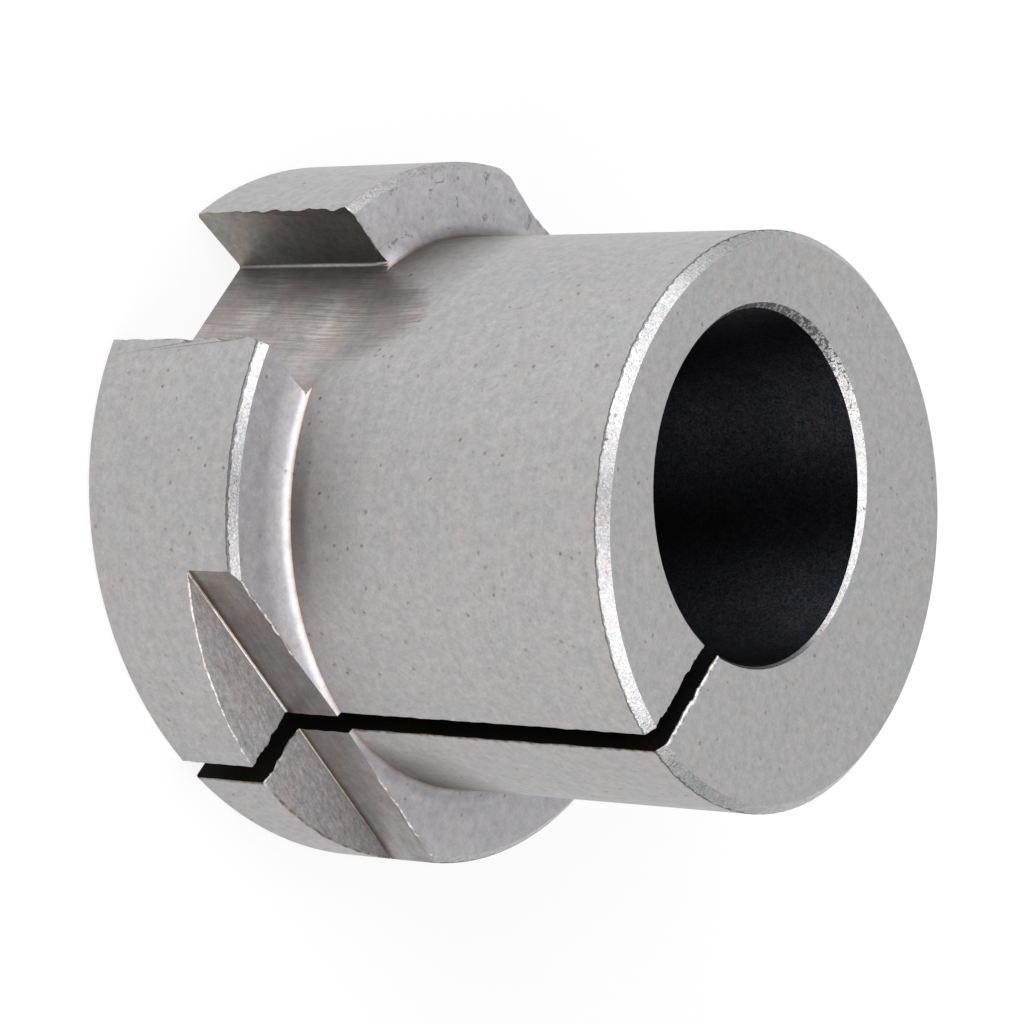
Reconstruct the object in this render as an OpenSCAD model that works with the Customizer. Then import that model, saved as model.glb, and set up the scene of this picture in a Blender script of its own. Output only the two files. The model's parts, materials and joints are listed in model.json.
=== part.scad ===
// Camber adjusting bushing: a split sleeve with a wedge-shaped wrench flange.
// Millimetres. +Z is the axis of the bore, and z = 0 is the nut face on the back of the flange.
// The barrel leans away from +X, the side where the flange is thickest and has its notch.

/* [Barrel] */
// Outside diameter of the barrel
barrel_d = 35; // [32:0.1:35.4]
// Length of the barrel, from the flange's seat to the barrel's end
barrel_len = 24.1; // [20:0.1:30]
// Chamfer on the barrel's end
barrel_edge = 0.6; // [0.2:0.05:1.2]
// Radius of the hollow at the barrel's root
root_r = 4; // [1.6:0.1:5]
// Height of the hollow's edge on the barrel, above the flange's seat
root_up = 0.34; // [0.2:0.02:0.8]

/* [Flange] */
// Diameter of the flange
flange_d = 44.5; // [43:0.1:50]
// Thickness of the flange on the barrel's axis
flange_t = 9.8; // [8.5:0.1:14]
// Chamfer on the flange's seat side
flange_edge = 0.5; // [0.2:0.05:1]
// Chamfer round the nut face
back_edge = 0.25; // [0.1:0.05:0.8]

/* [Bore] */
// Angle between the bore and the barrel
lean = 8.3; // [4:0.1:9]
// How far below the barrel's end the two axes cross
axes_cross = 20.2; // [16:0.1:22]
// Diameter of the bore at the barrel's end
bore_d = 21.4; // [18:0.1:22]
// Taper of the bore, as change of diameter for each millimetre
bore_taper = 0.125; // [0:0.005:0.15]
// Chamfer at the bore's large end
bore_edge = 0.22; // [0.2:0.02:0.8]
// How far that chamfer sits off the bore's axis
edge_off = 0.18; // [0:0.01:0.18]
// Direction in which it sits off, round the barrel from +X
edge_turn = 268; // [0:1:360]
// Chamfer at the bore's small end
nut_edge = 0.4; // [0.1:0.05:0.8]

/* [Notch] */
// Width of the notch
notch_w = 11.1; // [8:0.1:13]
// Distance from the barrel's axis to the notch's floor
notch_floor = 16.75; // [16:0.05:17.4]
// Turn of the notch about the barrel, from +X
notch_turn = 1.7; // [-6:0.1:6]
// Diameter of the disc cutter that leaves the run-out on the barrel
cutter_d = 112; // [80:1:140]
// Where the cutter stops, below the flange's seat
cutter_stop = 2.3; // [1.6:0.1:4]

/* [Wrench flats] */
// Distance across the two flats
flats_w = 35.6; // [35.4:0.1:41]
// Depth of the flats, from the flange's seat
flats_deep = 3.9; // [2:0.1:5]

/* [Slit] */
// Width of the slit
slit_w = 1.5; // [0.8:0.1:3]
// Distance of the slit's middle from the flat's middle, away from the notch
slit_off = 0.2; // [-1:0.05:1]

/* [Hidden] */
$fn = 96;
steel = [0.66, 0.66, 0.67];
barrel_r = barrel_d/2;
flange_r = flange_d/2;
// Height above the flange's seat at which the axes cross
cross_up = barrel_len - axes_cross;
// The same point's height above the nut face
cross_z = (cross_up + flange_t)*cos(lean);
// Height of the bore's large end above the nut face, on the bore's axis
mouth_z = cross_z + axes_cross/cos(lean);
// Distance from the barrel's axis to the bore's axis on the barrel's end
mouth_x = axes_cross*tan(lean);
// Middle of the nut face, where the barrel's axis meets it
back_x = cross_z*tan(lean);
// Radius of the nut face inside its chamfer
back_r = flange_r/sqrt(cos(lean)) - back_edge;
// Depth of flange stock to leave below the seat before the nut face is cut
stock = flange_t + flange_r*tan(lean) + 2;
// The hollow at the root is let into the seat by this much, so that it meets it at an edge
root_in = 0.02;
// Height of the hollow's centre above the seat, and its distance out from the barrel
hollow_z = root_r - root_in;
hollow_x = sqrt(root_r*root_r - (hollow_z - root_up)*(hollow_z - root_up));
// The disc cutter goes this much below the notch's floor
cutter_dip = 0.02;
cutter_r = cutter_d/2;
// Overlap past a face that is cut through
past = 1;

// Takes children drawn on the barrel's axis, with z = 0 on the flange's seat, to their place
module on_barrel() {
    translate([0, 0, cross_z])
        rotate([0, -lean, 0])
            translate([0, 0, -cross_up])
                children();
}

// Half section of barrel and flange, turned about the barrel's axis
module turned_section() {
    polygon([
        [0, -stock],
        [flange_r, -stock],
        [flange_r, -flange_edge],
        [flange_r - flange_edge, 0],
        [barrel_r, 0],
        [barrel_r, barrel_len - barrel_edge],
        [barrel_r - barrel_edge, barrel_len],
        [0, barrel_len]
    ]);
    difference() {
        translate([barrel_r - past, -past])
            square([hollow_x + past, root_up + past]);
        translate([barrel_r + hollow_x, hollow_z])
            circle(r = root_r);
    }
}

// The turned blank, with its stock cut off square to the bore and that rim chamfered
module blank() {
    intersection() {
        on_barrel()
            rotate_extrude()
                turned_section();
        translate([back_x, 0, 0])
            cylinder(r1 = back_r, r2 = back_r + 80, h = 80);
    }
}

// Tapered hole for the ball joint's stud, square to the nut face
module bore() {
    low = -past;
    high = mouth_z + 4*past;
    cylinder(
        d1 = bore_d - bore_taper*(mouth_z - low),
        d2 = bore_d + bore_taper*(high - mouth_z),
        h = high - low
    );
    small_r = (bore_d - bore_taper*mouth_z)/2;
    translate([0, 0, -past])
        cylinder(r1 = small_r + nut_edge + past, r2 = small_r - past, h = nut_edge + 2*past);
    on_barrel()
        translate([mouth_x + edge_off*cos(edge_turn), edge_off*sin(edge_turn), barrel_len - past])
            cylinder(r1 = bore_d/2 + bore_edge - past, r2 = bore_d/2 + bore_edge + past, h = 2*past);
}

// Wrench notch: a flat floor, and the round run-out that the cutter leaves on the barrel
module notch() {
    on_barrel()
        rotate([0, 0, notch_turn]) {
            translate([notch_floor, -notch_w/2, -stock - past])
                cube([flange_r, notch_w, stock + past - cutter_stop]);
            translate([notch_floor - cutter_dip + cutter_r, 0, -cutter_stop])
                rotate([90, 0, 0])
                    cylinder(r = cutter_r, h = notch_w, center = true);
        }
}

// One wrench flat, cut to part of the flange's depth
module flat() {
    translate([-flange_r, flats_w/2, -flats_deep])
        cube([flange_d, flange_r, flats_deep + root_r]);
}

// Both wrench flats, and the slit through the middle of one of them
module flats_and_slit() {
    on_barrel() {
        flat();
        mirror([0, 1, 0])
            flat();
        translate([-slit_off - slit_w/2, 0, -stock - past])
            cube([slit_w, flange_d, stock + barrel_len + 2*past]);
    }
}

module bushing() {
    color(steel)
        difference() {
            blank();
            bore();
            notch();
            flats_and_slit();
        }
}

bushing();
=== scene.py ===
import json
import math

import bmesh
import bpy
import numpy as np
from mathutils import Matrix, Vector


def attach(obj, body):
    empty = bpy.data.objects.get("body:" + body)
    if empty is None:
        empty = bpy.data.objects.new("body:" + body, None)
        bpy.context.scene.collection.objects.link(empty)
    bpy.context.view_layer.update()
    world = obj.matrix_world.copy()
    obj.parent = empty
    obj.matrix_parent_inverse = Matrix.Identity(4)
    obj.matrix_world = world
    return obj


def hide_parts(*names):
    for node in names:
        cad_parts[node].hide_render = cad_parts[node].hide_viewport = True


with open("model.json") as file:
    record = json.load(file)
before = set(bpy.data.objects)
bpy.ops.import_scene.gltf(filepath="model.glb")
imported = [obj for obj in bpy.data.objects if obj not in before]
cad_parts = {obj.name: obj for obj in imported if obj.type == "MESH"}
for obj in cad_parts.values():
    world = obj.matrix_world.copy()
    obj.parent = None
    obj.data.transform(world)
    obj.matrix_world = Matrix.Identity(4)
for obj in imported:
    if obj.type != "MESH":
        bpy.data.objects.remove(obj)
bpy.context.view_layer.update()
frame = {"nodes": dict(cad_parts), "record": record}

mm = 0.001
mounts = {m["name"]: m for m in frame["record"]["mounts"]}


# sRGB hex to linear RGBA
def linear(hexColour):
    srgb = np.array([int(hexColour[i:i + 2], 16) for i in (1, 3, 5)]) / 255
    rgb = np.where(srgb <= 0.04045, srgb / 12.92, ((srgb + 0.055) / 1.055) ** 2.4)
    return (*(float(v) for v in rgb), 1.0)


# adds one node: settings are its own properties, inputs are constants or the sockets that feed it
def addNode(tree, kind, settings, inputs, out=0):
    node = tree.nodes.new("ShaderNode" + kind)
    for name, value in settings.items():
        setattr(node, name, value)
    for name, value in inputs.items():
        if isinstance(value, bpy.types.NodeSocket):
            tree.links.new(value, node.inputs[name])
        else:
            node.inputs[name].default_value = value
    return node.outputs[out] if node.outputs else node


# the barrel's own axes, in mm: z along the barrel from the flange's seat, x towards the notch
barrelAxis = np.array(mounts["barrel"]["axis"])
barrelPoint = np.array(mounts["barrel"]["pos_m"]) / mm
seatPoint = np.array(mounts["seat"]["pos_m"]) / mm
lean = math.asin(-barrelAxis[0])
toBarrel = np.array(Matrix.Rotation(lean, 3, "Y"))
barrelShift = np.array([0, 0, (barrelPoint - seatPoint) @ barrelAxis]) - toBarrel @ barrelPoint

# the part's sizes in mm, as its drawing has them, and how its mesh is joined and its edges are broken
bushing = {
    "barrelR": mounts["barrel"]["dims"]["r_mm"],
    "barrelLen": 24.1,
    "barrelEdge": 0.6,
    "flangeR": 22.25,
    "flangeEdge": 0.5,
    "hollowR": 4.0,
    "hollowUp": 0.34,
    "hollowIn": 0.02,
    "hollowSteep": math.radians(46),
    "hollowPower": 0.56,
    "backX": 1.978,
    "boreR": 10.7,
    "boreTaper": 0.125,
    "boreLen": mounts["stud_bore"]["dims"]["length_mm"],
    "notchHalf": 5.55,
    "notchFloor": 16.75,
    "cutterR": 56.0,
    "cutterX": 72.73,
    "cutterZ": -2.3,
    "runOutBlend": 0.12,
    "notchTurn": math.radians(1.7),
    "flatOff": 17.8,
    "flatDeep": 3.9,
    "slitOff": 0.2,
    "slitHalf": 0.75,
    "mouthMiddle": (2.941, -0.180),
    "joinGap": 0.002,
    "joinAngle": math.radians(0.4),
    "brokenAngle": math.radians(25),
    "brokenSteps": 2,
    "burrStep": 0.16,
}

# settings that many nodes share
rgb = {"data_type": "RGBA"}
times = {"data_type": "RGBA", "blend_type": "MULTIPLY"}
straight = {"interpolation_type": "LINEAR"}
smooth = {"interpolation_type": "SMOOTHSTEP"}
product = {"operation": "MULTIPLY"}
scaledSum = {"operation": "MULTIPLY_ADD"}
total = {"operation": "ADD"}
absolute = {"operation": "ABSOLUTE"}
above = {"operation": "GREATER_THAN"}
below = {"operation": "LESS_THAN"}

# spans that many values cross: a share, a noise, and the middle of a noise
whole = (0.0, 1.0)
noiseSpan = (0.3, 0.7)
noiseMiddle = (0.35, 0.65)
noiseMean = 0.5


# the inputs that carry a value across a span to a range of results
def across(span, results=whole):
    return {"From Min": span[0], "From Max": span[1], "To Min": results[0], "To Max": results[1]}


# a contrast as a range of shades either side of 1
def around(contrast):
    return 1 - contrast, 1 + contrast


# multiplies a colour by a shade that follows a value across its span
def shadeBy(tree, colour, value, span, shades, ramp=straight):
    shade = addNode(tree, "MapRange", ramp, {"Value": value, **across(span, shades)})
    return addNode(tree, "Mix", times, {0: 1.0, 6: colour, 7: shade}, 2)


# the share that is left where all of several shares apply
def allOf(tree, *shares):
    left = shares[0]
    for share in shares[1:]:
        left = addNode(tree, "Math", product, {0: left, 1: share})
    return left


# how far a place on the barrel lies to one side, from -1 to 1
def sideOf(tree, place, way):
    flatPlace = addNode(tree, "VectorMath", product, {0: place, 1: (1, 1, 0)})
    outward = addNode(tree, "VectorMath", {"operation": "NORMALIZE"}, {0: flatPlace})
    return addNode(tree, "VectorMath", {"operation": "DOT_PRODUCT"}, {0: outward, 1: way}, "Value")


# a place's distance from the barrel's axis
def radiusOf(tree, place):
    flatPlace = addNode(tree, "VectorMath", product, {0: place, 1: (1, 1, 0)})
    return addNode(tree, "VectorMath", {"operation": "LENGTH"}, {0: flatPlace}, "Value")


# a wave that comes a number of times round an axis and is highest at one turn
def waveRound(tree, spot, count, turn):
    azimuth = addNode(tree, "Math", {"operation": "ARCTAN2"}, {0: spot["Y"], 1: spot["X"]})
    angle = addNode(tree, "Math", scaledSum, {0: azimuth, 1: count, 2: -count * turn})
    return addNode(tree, "Math", {"operation": "COSINE"}, {0: angle})


# how noise becomes grain: its spans that warm, cool, pit and crowd a surface; a pit's bends are in shares of its radius
grain = {
    "warmSpan": (0.48, 0.68), "coolSpan": (0.52, 0.32), "pitSpan": (0.44, 0.78), "crowdSpan": (0.4, 0.6),
    "crowdShares": (0.2, 1.2), "bendWide": 1.5, "bendBy": 1.6, "pitDeep": -0.8,
}


# a tone with faint warm and cool patches, blotches, a fine speckle and scattered pits; gives a colour and a height
def addGrain(tree, place, look):
    patches = addNode(tree, "TexNoise", {}, {
        "Vector": place, "Scale": 1 / look["patch"], "Detail": 3.0, "Roughness": 0.55})
    warmth = addNode(tree, "MapRange", {}, {"Value": patches, **across(grain["warmSpan"])})
    coolness = addNode(tree, "MapRange", {}, {"Value": patches, **across(grain["coolSpan"])})
    warmed = addNode(tree, "Mix", rgb, {0: warmth, 6: linear(look["tone"]), 7: linear(look["warm"])}, 2)
    colour = addNode(tree, "Mix", rgb, {0: coolness, 6: warmed, 7: linear(look["cool"])}, 2)
    for size, contrast in ((look["blotch"], look["blotchContrast"]), (look["speck"], look["contrast"])):
        noise = addNode(tree, "TexNoise", {}, {
            "Vector": place, "Scale": 1 / size, "Detail": 2.5, "Roughness": 0.65})
        colour = shadeBy(tree, colour, noise, noiseSpan, around(contrast))
    # pits sit in some of the cells of a grid bent by noise, so that no two have one shape
    bend = addNode(tree, "TexNoise", {}, {
        "Vector": place, "Scale": 1 / (grain["bendWide"] * look["pitR"]), "Detail": 2.0}, "Color")
    bent = addNode(tree, "VectorMath", scaledSum, {0: bend, 1: (grain["bendBy"] * look["pitR"],) * 3, 2: place})
    nearPit = addNode(tree, "TexVoronoi", {}, {"Vector": bent, "Scale": 1 / look["pitGap"]})
    hasPit = addNode(tree, "MapRange", {}, {
        "Value": nearPit.node.outputs["Color"], **across(grain["pitSpan"])})
    inPit = addNode(tree, "MapRange", smooth, {
        "Value": nearPit, **across((look["pitR"] / look["pitGap"], 0.0))})
    crowded = addNode(tree, "MapRange", {}, {
        "Value": patches, **across(grain["crowdSpan"], grain["crowdShares"])})
    pit = allOf(tree, hasPit, inPit, crowded)
    colour = shadeBy(tree, colour, pit, whole, (1.0, look["pitShade"]))
    height = addNode(tree, "Math", scaledSum, {0: pit, 1: grain["pitDeep"], 2: noise})
    return colour, height


# every finish starts here: the place on the part in mm along the barrel's own axes, and the grain there
def startFinish(name, look):
    material = bpy.data.materials.new(name)
    material.use_nodes = True
    tree = material.node_tree
    tree.nodes.clear()
    inObject = addNode(tree, "TexCoord", {}, {}, "Object")
    place = addNode(tree, "Mapping", {}, {
        "Vector": inObject, "Scale": (1 / mm,) * 3, "Rotation": (0, lean, 0), "Location": tuple(barrelShift)})
    return material, tree, place, *addGrain(tree, place, look)


# every finish ends here, with the relief and the metal itself
def endFinish(material, colour, height, look):
    tree = material.node_tree
    bump = addNode(tree, "Bump", {}, {
        "Strength": look["bump"], "Distance": look["relief"] * mm, "Height": height})
    surface = addNode(tree, "BsdfPrincipled", {}, {
        "Base Color": colour, "Metallic": look["metal"], "Roughness": look["rough"],
        "Specular IOR Level": look["shine"], "Normal": bump})
    addNode(tree, "OutputMaterial", {}, {"Surface": surface})
    return material


# blasted steel: matt light grey, grainy, with small pits; the other finishes change what differs
steelLook = {
    "tone": "#aaa9aa", "warm": "#aba9a8", "cool": "#a8a9aa", "patch": 2.4, "blotch": 0.6, "blotchContrast": 0.09,
    "speck": 0.17, "contrast": 0.068, "pitGap": 0.72, "pitR": 0.2, "pitShade": 0.42,
    "rough": 0.64, "metal": 0.85, "shine": 0.5, "bump": 0.3, "relief": 0.02,
}

# a narrow dark band of painted shade, torn in places, where a chamfer tool rolled an edge over; on the flange it fades
# out towards the top light
rolledShadeLook = {
    "ragged": 0.5, "raggedBy": 0.3, "drop": 0.02, "endHalf": 0.065, "rimHalf": 0.095, "shade": 0.4,
    "topLightWay": (0.695, -0.719, 0.0), "unlitSpan": (0.9, 0.75),
}


# paints the shade band beside each chamfer, faded out on the flange's lit side
def addRolled(tree, place, colour):
    look = rolledShadeLook
    along = addNode(tree, "SeparateXYZ", {}, {"Vector": place}, "Z")
    ragged = addNode(tree, "TexNoise", {}, {"Vector": place, "Scale": 1 / look["ragged"], "Detail": 3.0})
    uneven = addNode(tree, "Math", scaledSum, {0: ragged, 1: look["raggedBy"], 2: along})
    side = sideOf(tree, place, look["topLightWay"])
    unlit = addNode(tree, "MapRange", {}, {"Value": side, **across(look["unlitSpan"])})
    for edgeStart, most, half in (
            (bushing["barrelLen"] - bushing["barrelEdge"], 1.0, look["endHalf"]),
            (-bushing["flangeEdge"], unlit, look["rimHalf"])):
        bandMiddle = edgeStart + look["raggedBy"] * noiseMean - look["drop"]
        rolled = addNode(tree, "Math", {"operation": "COMPARE"}, {0: uneven, 1: bandMiddle, 2: half})
        rolled = addNode(tree, "Math", product, {0: rolled, 1: most})
        colour = shadeBy(tree, colour, rolled, whole, (1.0, look["shade"]))
    return colour


# painted shade on the barrel: a dark ring at the root, where the flange shades it, that comes and goes four times round
# it, and broad painted shade on two flanks
rootShadeLook = {
    "lobes": 4, "lobeTurn": math.radians(45), "lobePower": 3.0, "lobeShares": (0.12, 0.8), "foot": 0.1,
    "dense": 1.1, "thin": 2.0, "high": 6.5, "thinShare": 0.62, "shade": 0.33, "tint": "#f4eee8",
    "flankShadeWay": (0.743, -0.669, 0.0), "flankShadeSpan": (0.64, 0.98), "flankShadeFading": (7.6, 1.3),
    "drift": 3.0, "driftAcross": 0.3, "driftAlong": 3.0,
}


# paints the shade at the barrel's root and on its two flanks
def addGrime(tree, place, colour):
    look = rootShadeLook
    spot = addNode(tree, "SeparateXYZ", {}, {"Vector": place}).node.outputs
    wave = waveRound(tree, spot, look["lobes"], look["lobeTurn"])
    lobe = addNode(tree, "MapRange", {}, {"Value": wave, **across((-1.0, 1.0))})
    lobe = addNode(tree, "Math", {"operation": "POWER"}, {0: lobe, 1: look["lobePower"]})
    lobe = addNode(tree, "MapRange", {}, {"Value": lobe, **across(whole, look["lobeShares"])})
    dense = addNode(tree, "MapRange", smooth, {"Value": spot["Z"], **across((look["thin"], look["dense"]))})
    thin = addNode(tree, "MapRange", {}, {"Value": spot["Z"], **across((look["high"], look["dense"]))})
    fading = addNode(tree, "Mix", {}, {0: look["thinShare"], 2: dense, 3: thin})
    ring = addNode(tree, "Math", product, {0: lobe, 1: fading})
    drifts = addNode(tree, "TexNoise", {}, {"Vector": place, "Scale": 1 / look["drift"], "Detail": 3.0})
    drifts = addNode(tree, "Math", {"operation": "SUBTRACT"}, {0: drifts, 1: noiseMean})
    side = addNode(tree, "Math", absolute, {0: sideOf(tree, place, look["flankShadeWay"])})
    side = addNode(tree, "Math", scaledSum, {0: drifts, 1: look["driftAcross"], 2: side})
    onSide = addNode(tree, "MapRange", smooth, {"Value": side, **across(look["flankShadeSpan"])})
    rise = addNode(tree, "Math", scaledSum, {0: drifts, 1: look["driftAlong"], 2: spot["Z"]})
    fading = addNode(tree, "MapRange", {}, {"Value": rise, **across(look["flankShadeFading"])})
    flankShade = addNode(tree, "Math", product, {0: onSide, 1: fading})
    shadeAmount = addNode(tree, "Math", {"operation": "MAXIMUM"}, {0: ring, 1: flankShade})
    onBarrel = addNode(tree, "Math", above, {0: spot["Z"], 1: look["foot"]})
    shadeAmount = addNode(tree, "Math", product, {0: shadeAmount, 1: onBarrel})
    colour = addNode(tree, "Mix", times, {0: shadeAmount, 6: colour, 7: linear(look["tint"])}, 2)
    return shadeBy(tree, colour, shadeAmount, whole, (1.0, look["shade"]))


# turned and then blasted steel: the plain grey with faint turning lines, painted shade beside the chamfers and painted
# shade at the barrel's root, and a brown fringe of soot along the slit's edge that is farther from the notch
turnedLook = dict(
    steelLook, linePitch=0.22, lineLong=20.0, lineContrast=0.02, soot="#8d7565", sootWide=0.26, sootBy=0.5,
    sootRagged=0.5, sootEnd=0.01)


def makeTurned():
    look = turnedLook
    material, tree, place, colour, height = startFinish("turnedBlastedSteel", look)
    drawn = addNode(tree, "Mapping", {}, {
        "Vector": place, "Scale": (1 / look["lineLong"], 1 / look["lineLong"], 1 / look["linePitch"])})
    lines = addNode(tree, "TexNoise", {}, {"Vector": drawn, "Scale": 1.0, "Detail": 2.0})
    colour = shadeBy(tree, colour, lines, noiseSpan, around(look["lineContrast"]))
    # painted shade beside the chamfers and at the barrel's root
    colour = addRolled(tree, place, colour)
    colour = addGrime(tree, place, colour)
    spot = addNode(tree, "SeparateXYZ", {}, {"Vector": place}).node.outputs
    tatters = addNode(tree, "TexNoise", {}, {"Vector": place, "Scale": 1 / look["sootRagged"], "Detail": 3.0})
    fromSlit = addNode(tree, "Math", scaledSum, {0: tatters, 1: look["sootBy"], 2: spot["X"]})
    slitEdge = look["sootBy"] * noiseMean - bushing["slitOff"] - bushing["slitHalf"]
    atSlit = addNode(tree, "MapRange", {}, {
        "Value": fromSlit, **across((slitEdge - look["sootWide"], slitEdge))})
    slitSide = addNode(tree, "Math", above, {0: spot["Y"], 1: 0.0})
    farSide = addNode(tree, "Math", below, {0: spot["X"], 1: -bushing["slitOff"]})
    offEnd = addNode(tree, "Math", below, {0: spot["Z"], 1: bushing["barrelLen"] - look["sootEnd"]})
    sooty = allOf(tree, atSlit, slitSide, farSide, offEnd)
    colour = addNode(tree, "Mix", times, {0: sooty, 6: colour, 7: linear(look["soot"])}, 2)
    return endFinish(material, colour, height, look)


# the seat and its hollow, faced by a form tool: smoother and a little paler, with mottles and a few cracked patches;
# the hollow is burnished to a soft flash, with a brown lip where it meets the barrel; painted light and shade on both:
# a painted highlight round the hollow, painted lift on two sides, and painted shadow up the hollow on one side
seatLook = dict(
    steelLook, tone="#b4b2b6", warm="#b5b2b4", cool="#b2b2b6", blotchContrast=0.1, rough=0.56, metal=0.55,
    mottle=1.3, mottleContrast=0.06, way=(0.69, -0.72, 0.0),
    crackGap=1.9, crackSpan=(0.068, 0.017), crackBends=1.4, crackBendBy=1.4, crackPatch=1.5,
    crackPatchSpan=(0.54, 0.62), crackReach=(12.0, 15.0), crackShade=0.5,
    hollowSpan=(18.9, 17.9), hollowRough=0.37, hollowMetal=0.97, lip="#d6b7a0", lipFrom=0.25,
    sheenSpan=(19.8, 18.6), ringSpan=(0.85, 0.55), sheenShades=(0.75, 1.1), sideLiftSpan=(0.3, 0.9), sideLift=1.24,
    coreHigh=0.4, coreShade=0.9, shadowSpan=(0.85, 0.93), shadowHigh=0.9, shadowShade=0.4)


def makeSeat():
    look = seatLook
    material, tree, place, colour, height = startFinish("facedSteel", look)
    mottles = addNode(tree, "TexNoise", {}, {"Vector": place, "Scale": 1 / look["mottle"], "Detail": 3.0})
    colour = shadeBy(tree, colour, mottles, noiseMiddle, around(look["mottleContrast"]))
    # cracks: the bent borders of cells, in patches on one side
    bend = addNode(tree, "TexNoise", {}, {
        "Vector": place, "Scale": look["crackBends"], "Detail": 4.0, "Roughness": 0.7}, "Color")
    bendBy = (look["crackBendBy"], look["crackBendBy"], 0.0)
    bent = addNode(tree, "VectorMath", scaledSum, {0: bend, 1: bendBy, 2: place})
    cell = addNode(tree, "TexVoronoi", {"feature": "DISTANCE_TO_EDGE"}, {
        "Vector": bent, "Scale": 1 / look["crackGap"]})
    onBorder = addNode(tree, "MapRange", {}, {"Value": cell, **across(look["crackSpan"])})
    patch = addNode(tree, "TexNoise", {}, {
        "Vector": place, "Scale": 1 / look["crackPatch"], "Detail": 4.0, "Roughness": 0.7})
    inPatch = addNode(tree, "MapRange", {}, {"Value": patch, **across(look["crackPatchSpan"])})
    reach = addNode(tree, "VectorMath", {"operation": "DOT_PRODUCT"}, {0: place, 1: look["way"]}, "Value")
    inReach = addNode(tree, "MapRange", {}, {"Value": reach, **across(look["crackReach"])})
    crack = allOf(tree, onBorder, inPatch, inReach)
    colour = shadeBy(tree, colour, crack, whole, (1.0, look["crackShade"]))
    # painted highlight round the hollow, apart from the two sides, which get a painted lift all over; a painted dimming
    # of the flash up the hollow; painted shadow up the hollow on one side
    radius = radiusOf(tree, place)
    side = sideOf(tree, place, look["way"])
    eitherSide = addNode(tree, "Math", absolute, {0: side})
    nearHollow = addNode(tree, "MapRange", smooth, {"Value": radius, **across(look["sheenSpan"])})
    offSides = addNode(tree, "MapRange", {}, {"Value": eitherSide, **across(look["ringSpan"])})
    sheen = addNode(tree, "Math", product, {0: nearHollow, 1: offSides})
    colour = shadeBy(tree, colour, sheen, whole, look["sheenShades"])
    colour = shadeBy(tree, colour, eitherSide, look["sideLiftSpan"], (1.0, look["sideLift"]))
    along = addNode(tree, "SeparateXYZ", {}, {"Vector": place}, "Z")
    risen = addNode(tree, "MapRange", {}, {"Value": along, **across((0.0, bushing["hollowUp"]))})
    colour = shadeBy(tree, colour, risen, (0.0, look["coreHigh"]), (1.0, look["coreShade"]))
    onShadowSide = addNode(tree, "MapRange", {}, {"Value": side, **across(look["shadowSpan"])})
    paintedShadow = addNode(tree, "Math", product, {0: onShadowSide, 1: risen})
    colour = shadeBy(tree, colour, paintedShadow, (0.0, look["shadowHigh"]), (1.0, look["shadowShade"]))
    atLip = addNode(tree, "MapRange", {}, {
        "Value": along, **across((look["lipFrom"], bushing["hollowUp"]))})
    colour = addNode(tree, "Mix", times, {0: atLip, 6: colour, 7: linear(look["lip"])}, 2)
    burnished = {}
    for name, most in (("rough", look["hollowRough"]), ("metal", look["hollowMetal"])):
        burnished[name] = addNode(tree, "MapRange", smooth, {
            "Value": radius, **across(look["hollowSpan"], (look[name], most))})
    return endFinish(material, colour, height, dict(look, **burnished))


# steel bared by a chamfer tool: smoother, so it flashes white where it faces a light
edgeLook = dict(
    steelLook, tone="#aaa9ab", warm="#aca8a7", cool="#a6a8a9", patch=1.4, blotch=0.4, blotchContrast=0.14,
    speck=0.14, contrast=0.26, pitGap=0.5, pitR=0.16, pitShade=0.5, rough=0.33, metal=1.0, bump=0.7, relief=0.035)
# painted shade on the flash towards the top light, a painted highlight where that side ends, and painted shade halfway
# between the two sides
edgePaintedLight = {
    "wornSpan": (0.76, 0.83), "wornShade": 0.72, "endSpan": (0.9, 0.98), "endShade": 1.45,
    "middleAt": 0.08, "middleSpan": (0.3, 0.0), "middleShade": 0.6,
}


def makeEdge():
    material, tree, place, colour, height = startFinish("chamferedSteel", edgeLook)
    colour = addRolled(tree, place, colour)
    side = sideOf(tree, place, rolledShadeLook["topLightWay"])
    fromMiddle = addNode(tree, "Math", {"operation": "SUBTRACT"}, {0: side, 1: edgePaintedLight["middleAt"]})
    fromMiddle = addNode(tree, "Math", absolute, {0: fromMiddle})
    # painted shade and highlight, by side
    for name, value in (("worn", side), ("end", side), ("middle", fromMiddle)):
        colour = shadeBy(tree, colour, value, edgePaintedLight[name + "Span"], (1.0, edgePaintedLight[name + "Shade"]))
    return endFinish(material, colour, height, edgeLook)


# the bore's mouth: the same chamfer, with painted shade, torn in patches, on the side towards the top light, and
# painted shade on the opposite one
mouthLook = dict(
    edgeLook, way=(0.695, -0.719, 0.0), tear=0.22, tearBy=1.2, topShadeSpan=(0.7, 0.95), topShade=0.32,
    bottomShadeSpan=(-0.72, -0.9), bottomShade=0.3)


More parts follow.
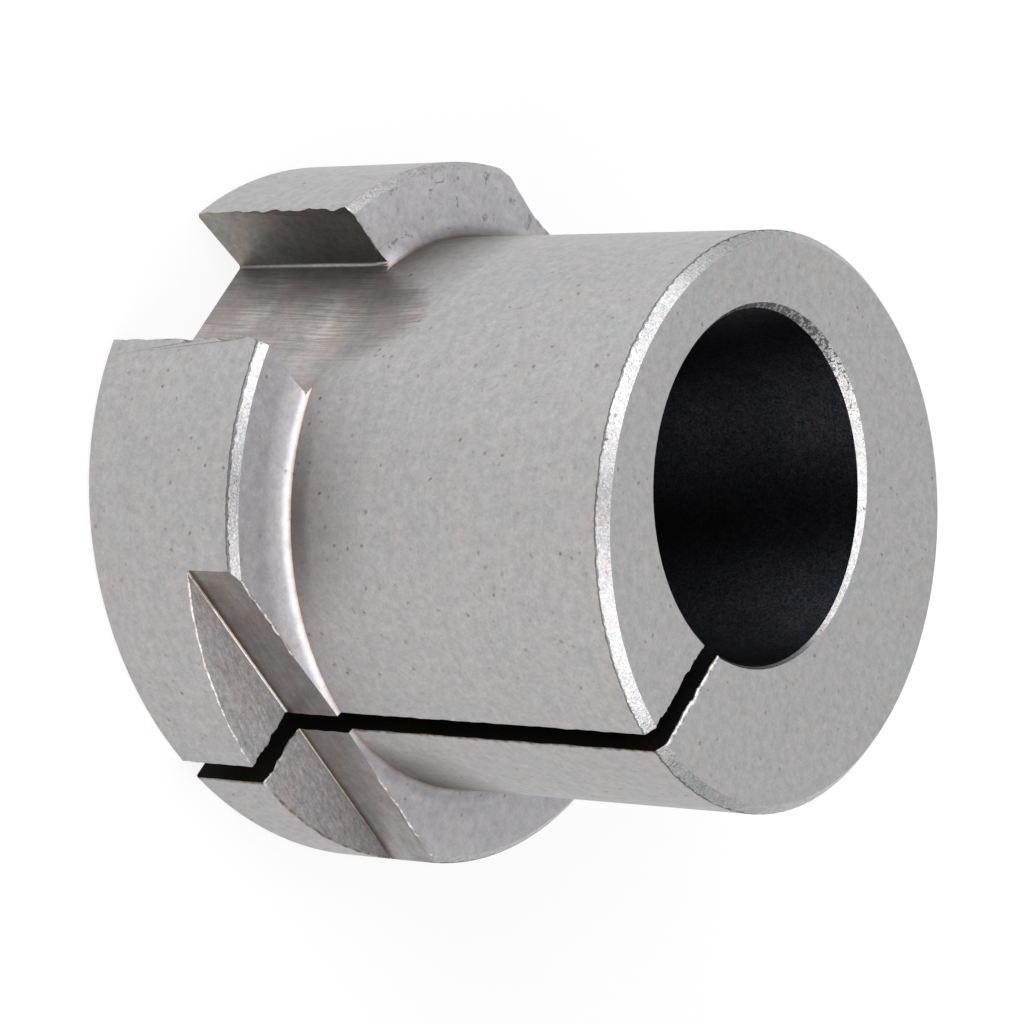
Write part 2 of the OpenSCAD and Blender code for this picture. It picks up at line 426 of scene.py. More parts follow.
def makeMouth():
    look = mouthLook
    material, tree, place, colour, height = startFinish("tornChamferSteel", look)
    mouth = (*bushing["mouthMiddle"], bushing["barrelLen"])
    fromMouth = addNode(tree, "VectorMath", {"operation": "SUBTRACT"}, {0: place, 1: mouth})
    outward = addNode(tree, "VectorMath", {"operation": "NORMALIZE"}, {0: fromMouth})
    side = addNode(tree, "VectorMath", {"operation": "DOT_PRODUCT"}, {0: outward, 1: look["way"]}, "Value")
    tears = addNode(tree, "TexNoise", {}, {"Vector": place, "Scale": 1 / look["tear"], "Detail": 2.0})
    tears = addNode(tree, "MapRange", {}, {
        "Value": tears, **across(noiseSpan, (-look["tearBy"] / 2, look["tearBy"] / 2))})
    tornSide = addNode(tree, "Math", total, {0: side, 1: tears})
    # painted shade on the top-light side, torn in patches, and on the opposite side
    colour = shadeBy(tree, colour, tornSide, look["topShadeSpan"], (1.0, look["topShade"]))
    colour = shadeBy(tree, colour, side, look["bottomShadeSpan"], (1.0, look["bottomShade"]))
    return endFinish(material, colour, height, look)


# thin burrs on the cut edges: bright where the burr stands, dull where it broke off; beyond the slit the step's outer
# burr is gone, and that edge is flecked with rust
burrLook = dict(
    steelLook, tone="#d9d7d8", warm="#dccfc6", cool="#cfd1d2", patch=0.9, blotch=0.4, blotchContrast=0.1,
    speck=0.12, contrast=0.3, pitGap=0.5, pitR=0.14, pitShade=0.6, rough=0.4, metal=1.0, bump=0.6, relief=0.04)
burrWear = {
    "length": 0.55, "brokenSpan": (0.57, 0.44), "broken": "#a19d9c",
    "goneX": -1.7, "goneZ": -2.0, "fleck": 0.6, "fleckSpan": (0.4, 0.58), "rust": "#7a685e",
}


def makeBurr():
    wear = burrWear
    material, tree, place, colour, height = startFinish("burredSteel", burrLook)
    stands = addNode(tree, "TexNoise", {}, {"Vector": place, "Scale": 1 / wear["length"], "Detail": 3.0})
    broken = addNode(tree, "MapRange", {}, {"Value": stands, **across(wear["brokenSpan"])})
    colour = addNode(tree, "Mix", rgb, {0: broken, 6: colour, 7: linear(wear["broken"])}, 2)
    flecks = addNode(tree, "TexNoise", {}, {"Vector": place, "Scale": 1 / wear["fleck"], "Detail": 3.0})
    rusty = addNode(tree, "MapRange", {}, {"Value": flecks, **across(wear["fleckSpan"])})
    rust = addNode(tree, "Mix", rgb, {0: rusty, 6: linear(wear["broken"]), 7: linear(wear["rust"])}, 2)
    spot = addNode(tree, "SeparateXYZ", {}, {"Vector": place}).node.outputs
    beyond = addNode(tree, "Math", below, {0: spot["X"], 1: wear["goneX"]})
    onStep = addNode(tree, "Math", below, {0: spot["Z"], 1: wear["goneZ"]})
    gone = addNode(tree, "Math", product, {0: beyond, 1: onStep})
    colour = addNode(tree, "Mix", rgb, {0: gone, 6: colour, 7: rust}, 2)
    return endFinish(material, colour, height, burrLook)


# the cutter's small corner radius: a pale, slightly warm line, with painted shade in the notch, deepest at its back
filletLook = dict(
    burrLook, tone="#c6c1bc", warm="#cabdb1", cool="#bfbcb9", contrast=0.12, notchX=10.0,
    depthSpan=(-14.0, -5.0), depthShades=(0.25, 0.6))


def makeFillet():
    look = filletLook
    material, tree, place, colour, height = startFinish("cutterRadiusSteel", look)
    spot = addNode(tree, "SeparateXYZ", {}, {"Vector": place}).node.outputs
    # painted shade in the notch, deepest at its back
    inNotch = addNode(tree, "Math", above, {0: spot["X"], 1: look["notchX"]})
    shade = addNode(tree, "MapRange", {}, {"Value": spot["Z"], **across(look["depthSpan"], look["depthShades"])})
    colour = addNode(tree, "Mix", times, {0: inNotch, 6: colour, 7: shade}, 2)
    return endFinish(material, colour, height, look)


# steel bored: almost black, bluish, cloudy with a fine grain, and with five soft dark bands round the bore's own axis
boredLook = dict(
    steelLook, tone="#25252a", warm="#272529", cool="#212429", blotch=0.45, blotchContrast=0.3, speck=0.15,
    contrast=0.7, rough=0.6, metal=0.0, shine=0.04, bump=0.5, cloud=6.0, cloudContrast=0.2,
    bands=5, bandTurn=math.radians(-107), bandShades=(0.24, 1.2))


def makeBored():
    look = boredLook
    material, tree, place, colour, height = startFinish("darkBoreSteel", look)
    clouds = addNode(tree, "TexNoise", {}, {"Vector": place, "Scale": 1 / look["cloud"], "Detail": 2.0})
    colour = shadeBy(tree, colour, clouds, noiseMiddle, around(look["cloudContrast"]))
    inObject = addNode(tree, "TexCoord", {}, {}, "Object")
    spot = addNode(tree, "SeparateXYZ", {}, {"Vector": inObject}).node.outputs
    wave = waveRound(tree, spot, look["bands"], look["bandTurn"])
    colour = shadeBy(tree, colour, wave, (-1.0, 1.0), look["bandShades"])
    return endFinish(material, colour, height, look)


# steel parted by a thin saw: near black and rough, a painted shade for the narrow slit, with no reflection
slitShadeLook = dict(
    steelLook, tone="#0d0d0c", warm="#110f0e", cool="#0c0d0c", contrast=0.3, rough=0.6, metal=0.0, shine=0.05)


def makeSawn():
    material, tree, place, colour, height = startFinish("sawnSteel", slitShadeLook)
    return endFinish(material, colour, height, slitShadeLook)


# notch floor left from a disc cutter: grey with a brown cast, drawn in streaks along the barrel, with painted shade
# near the inner wall, and paling into the blasted skin where the cut runs out
notchFloorLook = dict(
    steelLook, tone="#a7a3a3", warm="#a79d97", cool="#9fa09c", contrast=0.06, pitShade=0.85, rough=0.52,
    streakWide=0.14, streakLong=5.0, streakTurn=math.radians(3), streakContrast=0.42,
    scratchWide=0.1, scratchLong=2.6, scratchSpan=(0.6, 0.72), scratchShade=0.5,
    smudge=3.0, smudgeContrast=0.13, cutSpan=(0.35, 0.6), cutShares=(0.35, 1.0),
    wornSpan=(0.5, 4.5), wornLeft=0.2, wallShadeSpan=(-5.8, 1.0), wallShade=0.36, endSpan=(-1.5, 1.5), endShade=0.8,
    skinDeep=0.26, skinRagged=0.24, skinSpan=(0.0, 1.0), liftSpan=(0.0, 3.5), lift=0.26)


def makeNotchFloor():
    look = notchFloorLook
    material, tree, place, colour, height = startFinish("milledNotchSteel", look)
    spot = addNode(tree, "SeparateXYZ", {}, {"Vector": place}).node.outputs
    # streaks and scratches cut less deep towards the worn side and where it is smudged
    smudges = addNode(tree, "TexNoise", {}, {"Vector": place, "Scale": 1 / look["smudge"], "Detail": 3.0})
    unworn = addNode(tree, "MapRange", {}, {
        "Value": spot["Y"], **across(look["wornSpan"], (1.0, look["wornLeft"]))})
    deep = addNode(tree, "MapRange", {}, {"Value": smudges, **across(look["cutSpan"], look["cutShares"])})
    cut = addNode(tree, "Math", product, {0: unworn, 1: deep})
    turned = addNode(tree, "Mapping", {}, {"Vector": place, "Rotation": (look["streakTurn"], 0, 0)})
    drawn = addNode(tree, "Mapping", {}, {
        "Vector": turned, "Scale": (1.0, 1 / look["streakWide"], 1 / look["streakLong"])})
    streaks = addNode(tree, "TexNoise", {}, {"Vector": drawn, "Scale": 1.0, "Detail": 4.0, "Roughness": 0.7})
    drawn = addNode(tree, "Mapping", {}, {
        "Vector": place, "Scale": (1.0, 1 / look["scratchWide"], 1 / look["scratchLong"]),
        "Rotation": (-look["streakTurn"], 0, 0)})
    scratches = addNode(tree, "TexNoise", {}, {"Vector": drawn, "Scale": 1.0, "Detail": 3.0, "Roughness": 0.6})
    for marks, span, shades in (
            (streaks, noiseSpan, around(look["streakContrast"])),
            (scratches, look["scratchSpan"], (1.0, look["scratchShade"]))):
        shade = addNode(tree, "MapRange", {}, {"Value": marks, **across(span, shades)})
        colour = addNode(tree, "Mix", times, {0: cut, 6: colour, 7: shade}, 2)
    colour = shadeBy(tree, colour, smudges, noiseMiddle, around(look["smudgeContrast"]))
    # painted shade near the inner wall
    colour = shadeBy(tree, colour, spot["Y"], look["wallShadeSpan"], (look["wallShade"], 1.0), smooth)
    colour = shadeBy(tree, colour, spot["Z"], look["endSpan"], (1.0, look["endShade"]))
    # the run-out is skin deep at its end: the blasted skin, with its painted root shade, takes over in tatters
    tatters = addNode(tree, "MapRange", {}, {
        "Value": streaks, **across(noiseSpan, (-look["skinRagged"] / 2, look["skinRagged"] / 2))})
    lift = addNode(tree, "MapRange", {}, {"Value": spot["Y"], **across(look["liftSpan"], (0.0, look["lift"]))})
    ragged = addNode(tree, "Math", total, {0: radiusOf(tree, place), 1: tatters})
    ragged = addNode(tree, "Math", total, {0: ragged, 1: lift})
    atSkin = addNode(tree, "MapRange", smooth, {
        "Value": ragged, **across((bushing["barrelR"] - look["skinDeep"], bushing["barrelR"]))})
    offSeat = addNode(tree, "MapRange", {}, {"Value": spot["Z"], **across(look["skinSpan"])})
    skin = addNode(tree, "Math", product, {0: atSkin, 1: offSeat})
    skinColour, skinHeight = addGrain(tree, place, steelLook)
    skinColour = addGrime(tree, place, skinColour)
    colour = addNode(tree, "Mix", rgb, {0: skin, 6: colour, 7: skinColour}, 2)
    height = addNode(tree, "Math", total, {0: height, 1: streaks})
    height = addNode(tree, "Mix", {}, {0: skin, 2: height, 3: skinHeight})
    rough = addNode(tree, "MapRange", {}, {"Value": skin, **across(whole, (look["rough"], steelLook["rough"]))})
    return endFinish(material, colour, height, dict(look, rough=rough))


# notch walls left from the side of the cutter: olive black, a painted shade as they face away from the light, and paler
# at the back as painted light
notchWallLook = dict(
    steelLook, tone="#6b6966", warm="#6f675e", cool="#63665f", contrast=0.14, blotchContrast=0.14, pitShade=0.8,
    rough=0.45, depthSpan=(-13.0, -4.0), depthShades=(1.8, 0.75))


def makeNotchWall():
    look = notchWallLook
    material, tree, place, colour, height = startFinish("shadedMilledSteel", look)
    along = addNode(tree, "SeparateXYZ", {}, {"Vector": place}, "Z")
    # painted shade, lifted by painted light towards the back
    colour = shadeBy(tree, colour, along, look["depthSpan"], look["depthShades"], smooth)
    return endFinish(material, colour, height, look)


# wrench flats left from an end mill: grey, scratched and streaked along the flat, with a rusty brown foot to the wall;
# the step is rougher and more broken, and darker away from the notch
flatWallLook = dict(
    steelLook, tone="#827f7f", warm="#817974", cool="#7b7c7c", blotch=1.0, blotchContrast=0.13, contrast=0.1,
    pitShade=0.8, rough=0.5, markTurn=math.radians(4), scratchWide=0.3, scratchLong=6.0, scratchContrast=0.07,
    streakWide=0.6, streakLong=8.0, streakContrast=0.05, farSpan=(-12.0, 9.0), farShade=1.4,
    rust="#b99c8b", rustHigh=0.8, rustLow=0.1)
flatStepLook = dict(
    flatWallLook, tone="#aba8aa", warm="#aaa5a2", cool="#a5a6a7", blotch=0.5, contrast=0.16, rough=0.68, metal=0.7,
    markTurn=math.radians(9), scratchWide=0.24, scratchLong=0.6, scratchContrast=0.2,
    streakWide=0.32, streakLong=7.0, streakContrast=0.1, farSpan=(-12.0, 2.0), farShade=0.66, rustHigh=0.02)


def makeFlat(name, look):
    material, tree, place, colour, height = startFinish(name, look)
    turned = addNode(tree, "Mapping", {}, {"Vector": place, "Rotation": (0, 0, look["markTurn"])})
    for mark in ("scratch", "streak"):
        wide, long = look[mark + "Wide"], look[mark + "Long"]
        drawn = addNode(tree, "Mapping", {}, {"Vector": turned, "Scale": (1 / long, 1 / wide, 1 / wide)})
        marks = addNode(tree, "TexNoise", {}, {"Vector": drawn, "Scale": 1.0, "Detail": 4.0, "Roughness": 0.6})
        colour = shadeBy(tree, colour, marks, noiseSpan, around(look[mark + "Contrast"]))
        height = addNode(tree, "Math", total, {0: height, 1: marks})
    spot = addNode(tree, "SeparateXYZ", {}, {"Vector": place}).node.outputs
    colour = shadeBy(tree, colour, spot["X"], look["farSpan"], (look["farShade"], 1.0))
    foot = -bushing["flatDeep"]
    rusty = addNode(tree, "MapRange", smooth, {
        "Value": spot["Z"], **across((foot + look["rustHigh"], foot + look["rustLow"]))})
    colour = addNode(tree, "Mix", times, {0: rusty, 6: colour, 7: linear(look["rust"])}, 2)
    return endFinish(material, colour, height, look)


finishes = {
    "turned": makeTurned(), "seat": makeSeat(), "edge": makeEdge(), "mouth": makeMouth(), "burr": makeBurr(),
    "fillet": makeFillet(), "bored": makeBored(), "sawn": makeSawn(), "notchFloor": makeNotchFloor(),
    "notchWall": makeNotchWall(), "flatWall": makeFlat("milledFlatSteel", flatWallLook),
    "flatStep": makeFlat("milledStepSteel", flatStepLook),
}
finishOrder = list(finishes)
print("finishes", finishOrder)

# which finish each face of the drawing has
finishOf = {
    "barrel": "turned", "end": "turned", "rim": "turned", "seat": "seat", "hollow": "seat", "nutFace": "turned",
    "barrelEdge": "edge", "rimEdge": "edge", "backEdge": "turned", "mouthEdge": "mouth", "nutEdge": "edge",
    "bore": "bored", "slit": "sawn", "notchFloor": "notchFloor", "notchWall": "notchWall",
    "flatWall": "flatWall", "flatStep": "flatStep",
}

# broken edges in mm: a saw or a cutter leaves some of them wide, and those that aren't named stay sharp
burrWidths = {
    ("end", "slit"): 0.05, ("flatStep", "rim"): 0.12, ("flatWall", "seat"): 0.1,
    ("notchWall", "seat"): 0.07, ("notchWall", "rimEdge"): 0.06, ("flatStep", "slit"): 0.09, "slitSliver": 0.2,
}
filletWidths = {("notchFloor", "notchWall"): 0.2, ("flatStep", "flatWall"): 0.12}
# how far a torn edge wanders, in mm
raggedBy = {
    ("barrel", "slit"): 0.03, ("rim", "slit"): 0.03, ("end", "slit"): 0.05, ("flatStep", "slit"): 0.06,
    ("flatWall", "slit"): 0.03, ("flatStep", "rim"): 0.025, ("flatWall", "seat"): 0.04,
    ("notchWall", "rim"): 0.08, ("notchWall", "seat"): 0.015,
}

# how near to a face of the drawing its mesh faces lie, in mm, and how much of a normal lies along a direction
nearTo = {"plane": 0.02, "floor": 0.04, "notch": 0.1, "skin": 0.012, "round": 0.06, "bore": 0.3, "rim": 1.0}
facingBy = {"square": 0.99, "chamfer": 0.5, "slope": 0.3, "level": 0.05, "runOut": 0.008}


# names the face of the drawing that each mesh face belongs to, from its middle and its normal
def nameFaces(middles, normals):
    b = bushing
    square, slope, level = facingBy["square"], facingBy["slope"], facingBy["level"]
    plane = nearTo["plane"]
    spot = middles / mm @ toBarrel.T + barrelShift
    facing = normals @ toBarrel.T
    radius = np.hypot(spot[:, 0], spot[:, 1])
    outward = (facing[:, 0] * spot[:, 0] + facing[:, 1] * spot[:, 1]) / np.maximum(radius, 1e-6)
    up = facing[:, 2]
    high = spot[:, 2]
    down = -normals[:, 2]
    fromBore = np.hypot(middles[:, 0], middles[:, 1]) / mm
    boreWall = b["boreR"] - b["boreTaper"] / 2 * (b["boreLen"] - middles[:, 2] / mm)
    turn = np.array([[math.cos(b["notchTurn"]), math.sin(b["notchTurn"])],
                     [-math.sin(b["notchTurn"]), math.cos(b["notchTurn"])]])
    notchSpot = spot[:, :2] @ turn.T
    notchAcross = np.abs(facing[:, :2] @ turn.T)[:, 1]
    inNotch = (notchSpot[:, 0] > b["notchFloor"] - nearTo["notch"]) & (
        np.abs(notchSpot[:, 1]) < b["notchHalf"] + plane)
    onFloor = np.abs(notchSpot[:, 0] - b["notchFloor"]) < nearTo["floor"]
    onRunOut = (up < -facingBy["runOut"]) & (radius < b["barrelR"] - nearTo["skin"])
    inSlit = (np.abs(spot[:, 0] + b["slitOff"]) < b["slitHalf"] + plane) & (spot[:, 1] > 0)
    atEnd = high > b["barrelLen"] - nearTo["rim"]
    tests = {
        "slit": (np.abs(facing[:, 0]) > square) & inSlit,
        "notchWall": inNotch & (notchAcross > square),
        "notchFloor": inNotch & (notchAcross < level) & (up < slope) & (onFloor | onRunOut),
        "flatWall": (np.abs(facing[:, 1]) > square) & (np.abs(np.abs(spot[:, 1]) - b["flatOff"]) < plane),
        "flatStep": (up > square) & (np.abs(high + b["flatDeep"]) < plane),
        "bore": (outward < 0) & (np.abs(up) < slope) & (np.abs(fromBore - boreWall) < nearTo["bore"]),
        "nutFace": down > square,
        "nutEdge": (down > slope) & (fromBore < b["boreR"]),
        "backEdge": down > slope,
        "end": (up > square) & (high > b["barrelLen"] - plane),
        "mouthEdge": atEnd & (outward < 0),
        "barrelEdge": atEnd & (up > facingBy["chamfer"]),
        "seat": (up > square) & (np.abs(high) < plane),
        "rimEdge": (high < 0) & (up > facingBy["chamfer"]) & (radius > b["flangeR"] - nearTo["rim"]),
        "rim": (up < level) & (np.abs(radius - b["flangeR"]) < nearTo["round"]),
        "barrel": (up < level) & (np.abs(radius - b["barrelR"]) < nearTo["round"]),
    }
    return np.select(list(tests.values()), list(tests), "hollow")


# the drawing's own normal at each corner of the named faces, so that facets don't show; zero where the face is flat.
# round faces point from their axis, chamfers lie at 45 degrees, the hollow and the run-out point to their centres
def trueNormals(names, corners):
    b = bushing
    spot = corners / mm @ toBarrel.T + barrelShift
    radius = np.hypot(spot[:, 0], spot[:, 1])
    out = np.stack([spot[:, 0] / radius, spot[:, 1] / radius, np.zeros(len(spot))], axis=1)
    rise = np.array([0.0, 0.0, 1.0])
    boreOut = corners * [1, 1, 0] / np.hypot(corners[:, 0], corners[:, 1])[:, None]
    backOut = corners / mm * [1, 1, 0] - [b["backX"], 0, 0]
    backOut /= np.linalg.norm(backOut, axis=1)[:, None]
    mouthOut = (spot - [*b["mouthMiddle"], 0]) * [1, 1, 0]
    mouthOut /= np.linalg.norm(mouthOut, axis=1)[:, None]
    notchWay = np.array([math.cos(b["notchTurn"]), math.sin(b["notchTurn"]), 0])
    # the hollow turns smoothly from the seat's way to its steep lip at the barrel, with no crease at the seat
    high = b["hollowR"] - b["hollowIn"]
    first, last = math.acos(high / b["hollowR"]), math.acos((high - b["hollowUp"]) / b["hollowR"])
    steep = np.arccos(np.clip((high - spot[:, 2]) / b["hollowR"], 0, 1))
    steep = np.clip((steep - first) / (last - first), 0, 1) ** b["hollowPower"] * b["hollowSteep"]
    intoHollow = out * np.sin(steep)[:, None] + rise * np.cos(steep)[:, None]
    intoCutter = notchWay * (b["cutterX"] - spot @ notchWay)[:, None] + rise * (b["cutterZ"] - spot[:, 2])[:, None]
    runOut = (names == "notchFloor") & (spot[:, 2] > b["cutterZ"] + nearTo["skin"])
    onSkin = np.clip((radius - b["barrelR"]) / b["runOutBlend"] + 1, 0, 1)[:, None]
    intoCutter = intoCutter / b["cutterR"] * (1 - onSkin) + out * onSkin
    found = np.zeros_like(spot)
    for name, way in (("barrel", out), ("rim", out), ("barrelEdge", out + rise), ("rimEdge", out + rise),
                      ("mouthEdge", rise - mouthOut), ("hollow", intoHollow)):
        found[names == name] = way[names == name]
    found[runOut] = intoCutter[runOut]
    found = found @ toBarrel
    for name, way in (("bore", b["boreTaper"] / 2 * rise - boreOut), ("nutEdge", -rise - boreOut),
                      ("backEdge", backOut - rise)):
        found[names == name] = way[names == name]
    return found


# waves that make an edge ragged, their lengths in mm
tear = {"seed": 11, "waves": 24, "shortest": 0.3, "longest": 2.4}


# smooth ragged noise over space: waves in scattered directions
def raggedNoise(spots):
    dice = np.random.default_rng(tear["seed"])
    count = tear["waves"]
    waves = dice.normal(size=(count, 3))
    lengths = dice.uniform(tear["shortest"], tear["longest"], count)
    waves *= (2 * np.pi / lengths / np.linalg.norm(waves, axis=1))[:, None]
    shifts = dice.uniform(0, 2 * np.pi, (count, 3))
    ways = dice.normal(size=(count, 3)) / math.sqrt(count)
    angles = spots / mm @ waves.T
    return sum(np.sin(angles[:, k, None] + shifts[k]) * ways[k] for k in range(count)) * math.sqrt(2)


# a property of every item of a mesh, one row for each item
def readAll(items, name, wide=1, kind=float):
    values = np.empty(len(items) * wide, dtype=kind)
    items.foreach_get(name, values)
    return values.reshape(-1, wide) if wide > 1 else values


# copy of the CAD solid with its triangles joined, its faces sorted by how they were cut, and its edges broken
def makeBushing():
    shell = bmesh.new()
    shell.from_mesh(frame["nodes"]["bushing"].data)
    bmesh.ops.remove_doubles(shell, verts=shell.verts, dist=bushing["joinGap"] * mm)
    bmesh.ops.dissolve_limit(
        shell, angle_limit=bushing["joinAngle"], verts=shell.verts, edges=shell.edges)
    mesh = bpy.data.meshes.new("bushingSteel")
    shell.to_mesh(mesh)
    shell.free()
    count = len(mesh.polygons)
    names = nameFaces(readAll(mesh.polygons, "center", 3), readAll(mesh.polygons, "normal", 3))
    nameList = list(finishOf)
    for finish in finishes.values():
        mesh.materials.append(finish)
    slots = np.array([finishOrder.index(finishOf[n]) for n in names], dtype=np.int32)
    mesh.polygons.foreach_set("material_index", slots)
    mesh.polygons.foreach_set("use_smooth", np.ones(count, dtype=bool))
    cutBy = np.array([nameList.index(n) for n in names], dtype=np.int32)
    mesh.attributes.new("cut", "INT", "FACE").data.foreach_set("value", cutBy)
    print("bushing", count, "faces;", {str(n): int((names == n).sum()) for n in np.unique(names)})

    # faces meet sharply, apart from the hollow's run into the seat; each broken edge gets the width that its
    # two faces ask for, as a share of the widest, and is cut into short steps so that it can be ragged
    shell = bmesh.new()
    shell.from_mesh(mesh)
    burr = shell.edges.layers.float.new("burrWeight")
    fillet = shell.edges.layers.float.new("filletWeight")
    torn = [shell.verts.layers.float.new(name) for name in ("tornX", "tornY")]
    tornBy = [shell.edges.layers.float.new(name) for name in ("tornByX", "tornByY")]
    steps = {}
    for edge in shell.edges:
        pair = tuple(sorted(str(names[f.index]) for f in edge.link_faces))
        edge.smooth = pair[0] == pair[-1] or pair == ("hollow", "seat")
        if len(pair) != 2 or edge.calc_face_angle(0) < bushing["brokenAngle"]:
            continue
        if not edge.is_convex:
            edge[fillet] = filletWidths.get(pair, 0.0) / max(filletWidths.values())
            continue
        middle = toBarrel @ np.array((edge.verts[0].co + edge.verts[1].co) / 2) / mm + barrelShift
        key = "slitSliver" if pair == ("end", "slit") and middle[0] < -bushing["slitOff"] else pair
        isSharp = pair == ("notchWall", "seat") and middle[1] > 0
        edge[burr] = 0.0 if isSharp else burrWidths.get(key, 0.0) / max(burrWidths.values())
        edge[tornBy[0 if "slit" in pair else 1]] = raggedBy.get(pair, 0.0)
        cuts = int(edge.calc_length() / mm / bushing["burrStep"])
        if pair in raggedBy and cuts > 0:
            steps.setdefault(cuts, []).append(edge)
    for cuts, edges in steps.items():
        bmesh.ops.bisect_edges(shell, edges=edges, cuts=cuts)
    for edge in shell.edges:
        for point in edge.verts:
            for wander, most in zip(torn, tornBy):
                point[wander] = max(point[wander], edge[most])
    shell.to_mesh(mesh)
    shell.free()
    piece = bpy.data.objects.new("bushingSteel", mesh)
    bpy.context.scene.collection.objects.link(piece)
    for weightName, widths, finish in (
            ("filletWeight", filletWidths, "fillet"), ("burrWeight", burrWidths, "burr")):
        broken = piece.modifiers.new(finish, "BEVEL")
        broken.limit_method = "WEIGHT"
        broken.edge_weight = weightName
        broken.width = max(widths.values()) * mm
        broken.segments = bushing["brokenSteps"]
        broken.use_clamp_overlap = False
        broken.harden_normals = True
        broken.material = finishOrder.index(finish)
    bpy.context.view_layer.update()
    mesh = bpy.data.meshes.new_from_object(piece.evaluated_get(bpy.context.evaluated_depsgraph_get()))
    piece.modifiers.clear()
    piece.data = mesh

    # ragged burrs, and the drawing's own normals on everything else
    spots = readAll(mesh.vertices, "co", 3)
    turns = readAll(mesh.polygons, "loop_total", kind=np.int32)
    loopSlots = np.repeat(readAll(mesh.polygons, "material_index", kind=np.int32), turns)
    loopNames = np.array(nameList)[np.repeat(readAll(mesh.attributes["cut"].data, "value", kind=np.int32), turns)]
    loopFlat = np.repeat(readAll(mesh.polygons, "normal", 3), turns, axis=0)
    corner = readAll(mesh.loops, "vertex_index", kind=np.int32)
    shown = readAll(mesh.corner_normals, "vector", 3)
    plain = ~np.isin(loopSlots, [finishOrder.index("burr"), finishOrder.index("fillet")])
    true = trueNormals(loopNames, spots[corner])
    isFlat = np.abs(true).sum(axis=1) == 0
    shown[plain] = np.where(isFlat[:, None], loopFlat, true)[plain]
    shown /= np.linalg.norm(shown, axis=1)[:, None]
    wander = np.stack([readAll(mesh.attributes[name].data, "value") for name in ("tornX", "tornY")])
    # slit edges wander across the slit, the others across the notch and the flats
    spots += (raggedNoise(spots)[:, :2] * wander.T * mm) @ toBarrel[:2]
    mesh.vertices.foreach_set("co", spots.ravel())
    mesh.update()
    mesh.normals_split_custom_set(shown.tolist())
    print("edges broken,", len(mesh.polygons), "faces,", int((wander > 0).sum()), "torn points")
    return piece


piece = makeBushing()
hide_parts("bushing")
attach(piece, "root")

# camera at the photograph's viewing angle: the barrel points to the picture's right
cameraSpot = {
    "place": (122.446, 137.257, 195.287), "target": (-4.227, -5.068, 6.389),
    "up": (0.691482, -0.718229, 0.077450), "lens": 144.592, "sensor": 36.0, "nearest": 0.01,
}
place = Vector(cameraSpot["place"]) * mm
backward = (place - Vector(cameraSpot["target"]) * mm).normalized()
rightward = Vector(cameraSpot["up"]).cross(backward).normalized()
upward = backward.cross(rightward)
cameraData = bpy.data.cameras.new("camera")
cameraData.lens = cameraSpot["lens"]
cameraData.sensor_width = cameraSpot["sensor"]
cameraData.clip_start = cameraSpot["nearest"]
camera = bpy.data.objects.new("camera", cameraData)
camera.matrix_world = Matrix.Translation(place) @ Matrix((rightward, upward, backward)).transposed().to_4x4()
bpy.context.scene.collection.objects.link(camera)
bpy.context.scene.camera = camera

# softboxes round the part's middle: toward is in the picture's right, up and backward; size in metres, power in watts
softboxes = {
    "topBox": {"toward": (-0.15, 1.0, 0.75), "size": (0.5, 0.5), "power": 1.5, "colour": "#ffffff"},
    "highStrip": {"toward": (0.47, 0.85, 0.17), "size": (0.24, 0.42), "power": 0.75, "colour": "#ffffff"},
    "underStrip": {"toward": (0.35, -0.78, 0.52), "size": (0.22, 0.2), "power": 0.38, "colour": "#ffffff"},
    "frontStrip": {"toward": (0.3, 0.04, 0.95), "size": (0.24, 1.7), "power": 3.62, "colour": "#ffffff"},
    "sideBox": {"toward": (1.0, -0.03, -0.12), "size": (0.5, 0.6), "power": 0.25, "colour": "#ffffff"},
    "lowBox": {"toward": (-0.4, -0.7, 0.85), "size": (0.4, 0.3), "power": 0.9, "colour": "#ffeade"},
}
softboxDistance = 0.6
partMiddle = Vector((-1.0, 0.0, 17.0)) * mm
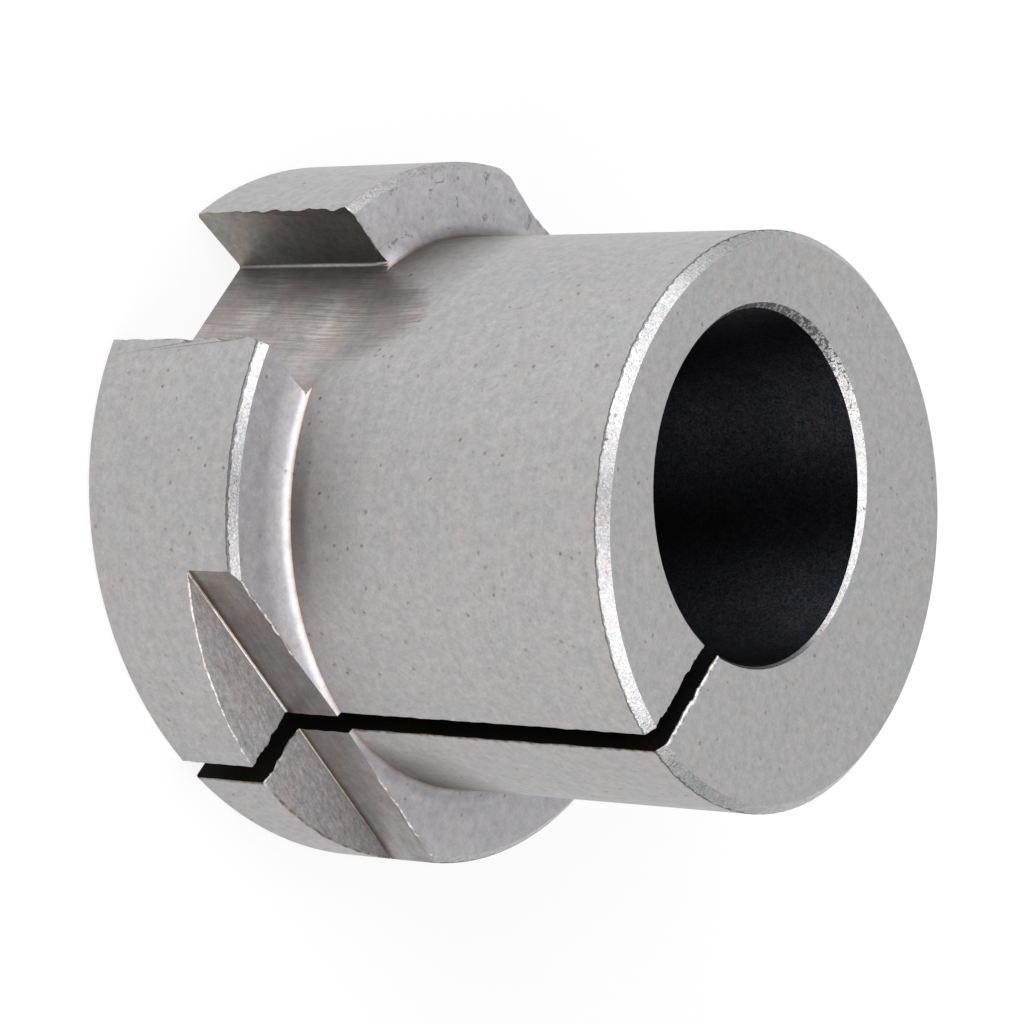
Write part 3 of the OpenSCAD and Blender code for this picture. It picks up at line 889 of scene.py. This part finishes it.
for name, box in softboxes.items():
    toward = sum((way * share for way, share in zip((rightward, upward, backward), box["toward"])), Vector())
    toward.normalize()
    tallWay = (upward - toward * upward.dot(toward)).normalized()
    lightData = bpy.data.lights.new(name, "AREA")
    lightData.shape = "RECTANGLE"
    lightData.size, lightData.size_y = box["size"]
    lightData.energy = box["power"]
    lightData.color = linear(box["colour"])[:3]
    light = bpy.data.objects.new(name, lightData)
    turned = Matrix((tallWay.cross(toward), tallWay, toward)).transposed().to_4x4()
    light.matrix_world = Matrix.Translation(partMiddle + toward * softboxDistance) @ turned
    bpy.context.scene.collection.objects.link(light)

# white paper floor: the eye and the metal see it white, with the shadow kept faint
floorLook = {"size": 3.0, "drop": 0.02 * mm, "paper": "#e6e6e6", "whiteShare": 0.82, "worldLight": 0.66}
white = linear("#ffffff")
half = floorLook["size"] / 2
floorMesh = bpy.data.meshes.new("paperFloor")
floorMesh.from_pydata([(x, y, -floorLook["drop"]) for x, y in
                       ((-half, -half), (half, -half), (half, half), (-half, half))], [], [(0, 1, 2, 3)])
floor = bpy.data.objects.new("paperFloor", floorMesh)
bpy.context.scene.collection.objects.link(floor)
paper = bpy.data.materials.new("whitePaper")
paper.use_nodes = True
tree = paper.node_tree
tree.nodes.clear()
path = addNode(tree, "LightPath", {}, {}).node.outputs
seen = addNode(tree, "Math", {"operation": "MAXIMUM"}, {0: path["Is Camera Ray"], 1: path["Is Glossy Ray"]})
seen = addNode(tree, "Math", {"operation": "MAXIMUM"}, {0: seen, 1: path["Is Transmission Ray"]})
whiteShare = addNode(tree, "Math", product, {0: seen, 1: floorLook["whiteShare"]})
matt = addNode(tree, "BsdfDiffuse", {}, {"Color": linear(floorLook["paper"])})
bright = addNode(tree, "Emission", {}, {"Color": white, "Strength": 1.0})
mixed = addNode(tree, "MixShader", {}, {0: whiteShare, 1: matt, 2: bright})
addNode(tree, "OutputMaterial", {}, {"Surface": mixed})
floorMesh.materials.append(paper)

world = bpy.data.worlds.new("studio")
bpy.context.scene.world = world
world.use_nodes = True
tree = world.node_tree
tree.nodes.clear()
path = addNode(tree, "LightPath", {}, {}).node.outputs
strength = addNode(tree, "MapRange", {}, {
    "Value": path["Is Camera Ray"], **across(whole, (floorLook["worldLight"], 1.0))})
sky = addNode(tree, "Background", {}, {"Color": white, "Strength": strength})
addNode(tree, "OutputWorld", {}, {"Surface": sky})

bpy.context.scene.view_settings.view_transform = "Standard"
print("camera, lights and floor set")
